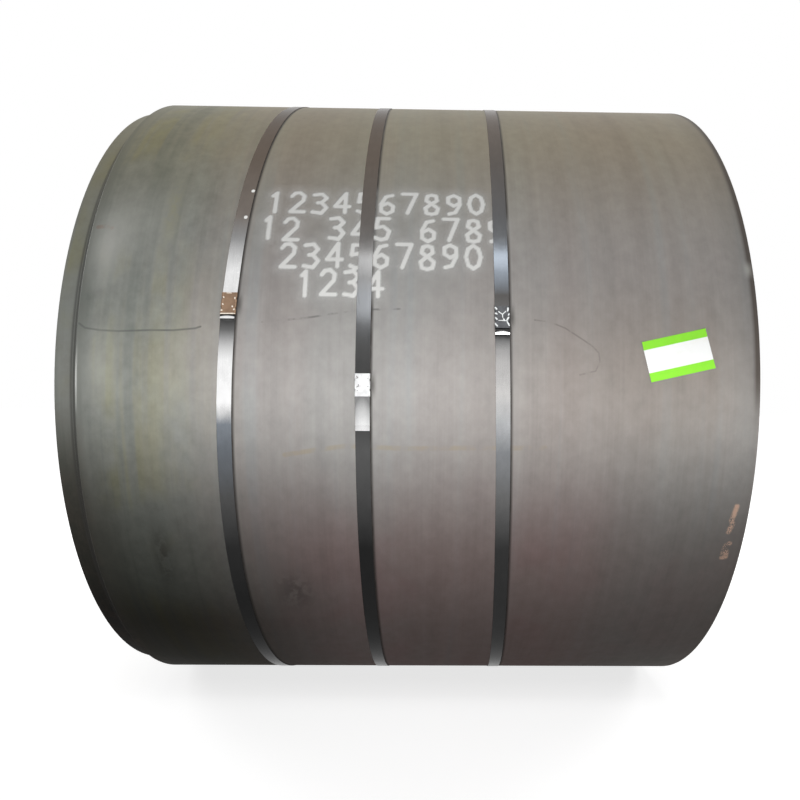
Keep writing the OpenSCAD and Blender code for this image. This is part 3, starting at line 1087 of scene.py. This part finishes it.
class COIL_OT_figures(bpy.types.Operator):
    """Sprays plain counting figures on the outer turn, as a thin film with soft, hazy edges"""

    bl_idname = "coil.figures"
    bl_label = "Sprayed figures"

    def execute(self, context):
        sizes, label, colours = context.scene.coil_sizes, context.scene.label_sizes, context.scene.finishes
        margin, mesh_step, least_cover = 0.05, 0.003, 0.025
        base = coil_radius(sizes) + FILM_GAP
        starts, ends = self.strokes(label, base)
        low = np.minimum(starts, ends).min(0) - margin
        high = np.maximum(starts, ends).max(0) + margin
        across, up = (int(n) for n in np.ceil((high - low) / mesh_step))
        piece = start_piece(
            "sprayed_figures", bpy.ops.mesh.primitive_grid_add,
            x_subdivisions=across, y_subdivisions=up, size=2,
        )
        flat = np.array([vertex.co[:2] for vertex in piece.data.vertices])
        flat = low + (flat + 1) / 2 * (high - low)
        cover = self.cover(flat, starts, ends, label.spray)
        for vertex, (x, above) in zip(piece.data.vertices, flat):
            vertex.co = (x, *on_front(base, above / base))
        write_values(piece, "cover", cover)
        none = (bpy.ops.mesh.select_all, {"action": "DESELECT"})
        in_edit(piece, (bpy.ops.mesh.select_mode, {"type": "FACE"}), none)
        for face in piece.data.polygons:
            face.select = all(cover[i] < least_cover for i in face.vertices)
        bpy.ops.object.mode_set(mode="EDIT")
        bpy.ops.mesh.delete(type="FACE")
        bpy.ops.object.mode_set(mode="OBJECT")
        dress(piece, spray_paint(colours), None, "coil_steel")
        return {"FINISHED"}

    @staticmethod
    def strokes(label, base):
        """Starts and ends of all strokes, in metres along the axis and up the surface."""
        starts, ends = [], []
        for row, (figures, begin, foot) in enumerate(FIGURE_ROWS):
            for index, figure in enumerate(figures):
                drift = 0.002 * math.sin(2.3 * index + 1.7 * row)
                corner = np.array((begin + index * label.figure_pitch, math.radians(foot) * base + drift))
                for line in FIGURES.get(figure, ()):
                    points = corner + np.array(line) / 100 * (label.figure_w, label.figure_h)
                    starts += list(points[:-1])
                    ends += list(points[1:])
        return np.array(starts), np.array(ends)

    @staticmethod
    def cover(flat, starts, ends, spray):
        """How much paint lies on each place: the strokes, and a haze of overspray round them."""
        nearest = np.full(len(flat), 1.0)
        for start, end in zip(starts, ends):
            run = end - start
            share = np.clip((flat - start) @ run / (run @ run), 0, 1)
            gap = np.linalg.norm(flat - start - share[:, None] * run, axis=1)
            nearest = np.minimum(nearest, gap)
        haze_most, haze_reach = 0.28, 0.02
        edge = np.clip((spray * 1.9 - nearest) / (spray * 1.25), 0, 1)
        haze = haze_most * np.exp(-((nearest / haze_reach) ** 2))
        return np.maximum(edge * edge * (3 - 2 * edge), haze)


class COIL_OT_stage(bpy.types.Operator):
    """Sets the pale floor, the lamps, the sky and the camera"""

    bl_idname = "coil.stage"
    bl_label = "Stage"

    def execute(self, context):
        self.floor()
        self.lamps()
        self.sky(context.scene)
        self.camera(context.scene)
        context.scene.view_settings.view_transform = "Standard"
        return {"FINISHED"}

    @staticmethod
    def seen(finish):
        """1 for the rays that show the background: camera, glossy and transmission."""
        camera, glossy, through = (
            finish.node("LightPath", out=f"Is {kind} Ray") for kind in ("Camera", "Glossy", "Transmission")
        )
        return camera.most(glossy).most(through)

    def floor(self):
        piece = start_piece("floor", bpy.ops.mesh.primitive_plane_add, size=60)
        finish = Finish("pale_floor")
        nodes = finish.tree.nodes
        finish.surface(Base_Color=(0.3, 0.3, 0.3), Roughness=0.9, Specular_IOR_Level=0.0)
        away = finish.node("VectorMath", {"operation": "LENGTH"}, {0: finish.place()}, 1)
        strength = 0.76 + away.between(1.0, 2.6) * 0.24
        glow = finish.node("Emission", inputs={"Color": (1, 1, 1), "Strength": strength})
        pale = finish.node("BsdfDiffuse", inputs={"Color": (0.5, 0.5, 0.5)})
        white = finish.node("AddShader", inputs={0: glow, 1: pale})
        plain = Value(finish, nodes["Principled BSDF"].outputs[0])
        chosen = finish.node("MixShader", inputs={0: self.seen(finish), 1: plain, 2: white})
        finish.feed(nodes["Material Output"].inputs["Surface"], chosen)
        piece.data.materials.append(finish.owner)

    @staticmethod
    def lamps():
        aim = Vector((0, 0, 0.95))
        for name, place, wide, high, power, mirrored in (
            ("key_lamp", (0.25, -3.4, 3.1), 1.6, 1.6, 46, True),
            ("front_lamp", (0.06, -1.2, 0.89), 1.62, 0.08, 2.5, False),
            ("left_lamp", (-4.2, 0.7, 2.4), 1.6, 1.6, 70, True),
            ("right_lamp", (4.2, 0.7, 2.4), 1.6, 1.6, 70, True),
            ("back_lamp", (0.4, 4.4, 2.6), 1.8, 1.8, 80, True),
        ):
            bpy.ops.object.light_add(type="AREA", location=place)
            lamp = bpy.context.object
            lamp.name = name
            lamp.data.shape = "RECTANGLE"
            lamp.data.size = wide
            lamp.data.size_y = high
            lamp.data.energy = power
            lamp.visible_camera = False
            lamp.visible_glossy = mirrored
            lamp.rotation_euler = (aim - Vector(place)).to_track_quat("-Z", "Y").to_euler()

    def sky(self, scene):
        finish = Finish("studio_sky", "worlds")
        scene.world = finish.owner
        background = finish.tree.nodes["Background"]
        finish.feed(background.inputs["Color"], (1, 1, 1))
        finish.feed(background.inputs["Strength"], 0.22 + self.seen(finish) * 0.78)

    @staticmethod
    def camera(scene):
        eye = Vector((0.0456, -2.3358, AXIS_Z - 0.0202))
        yaw, pitch, roll = (math.radians(a) for a in (0.8944, -0.4516, -0.5472))
        ahead = Vector((math.sin(yaw) * math.cos(pitch), math.cos(yaw) * math.cos(pitch), math.sin(pitch)))
        level = Vector((math.cos(yaw), -math.sin(yaw), 0))
        upright = level.cross(ahead)
        right = level * math.cos(roll) - upright * math.sin(roll)
        up = level * math.sin(roll) + upright * math.cos(roll)
        bpy.ops.object.camera_add()
        camera = bpy.context.object
        camera.name = "photo_camera"
        turn = Matrix((right, up, -ahead)).transposed().to_4x4()
        camera.matrix_world = Matrix.Translation(eye) @ turn
        camera.data.sensor_width = 36
        camera.data.lens = 29.103
        camera.data.shift_x = -0.0469
        camera.data.clip_end = 200
        scene.camera = camera


class COIL_PT_panel(bpy.types.Panel):
    """Lists the steps, then the sizes and colours they take"""

    bl_label = "Steel coil"
    bl_idname = "COIL_PT_panel"
    bl_space_type = "VIEW_3D"
    bl_region_type = "UI"
    bl_category = "Coil"

    def draw(self, context):
        for step in STEPS:
            self.layout.operator(step.bl_idname)
        for group in GROUPS:
            box = self.layout.box()
            holder = getattr(context.scene, group)
            for key in holder.bl_rna.properties.keys():
                if key not in ("rna_type", "name"):
                    box.prop(holder, key)


GROUPS = {"coil_sizes": CoilSizes, "strap_sizes": StrapSizes, "label_sizes": LabelSizes, "finishes": Finishes}
STEPS = (COIL_OT_winding, COIL_OT_straps, COIL_OT_seals, COIL_OT_label, COIL_OT_figures, COIL_OT_stage)


def register():
    for item in (*GROUPS.values(), *STEPS, COIL_PT_panel):
        bpy.utils.register_class(item)
    for name, group in GROUPS.items():
        setattr(bpy.types.Scene, name, PointerProperty(type=group))


def unregister():
    for name in GROUPS:
        delattr(bpy.types.Scene, name)
    for item in reversed((*GROUPS.values(), *STEPS, COIL_PT_panel)):
        bpy.utils.unregister_class(item)


def main():
    register()
    bpy.ops.coil.stage()
    bpy.ops.coil.winding()
    bpy.ops.coil.straps()
    bpy.ops.coil.seals()
    bpy.ops.coil.label()
    bpy.ops.coil.figures()


if __name__ == "__main__":
    main()
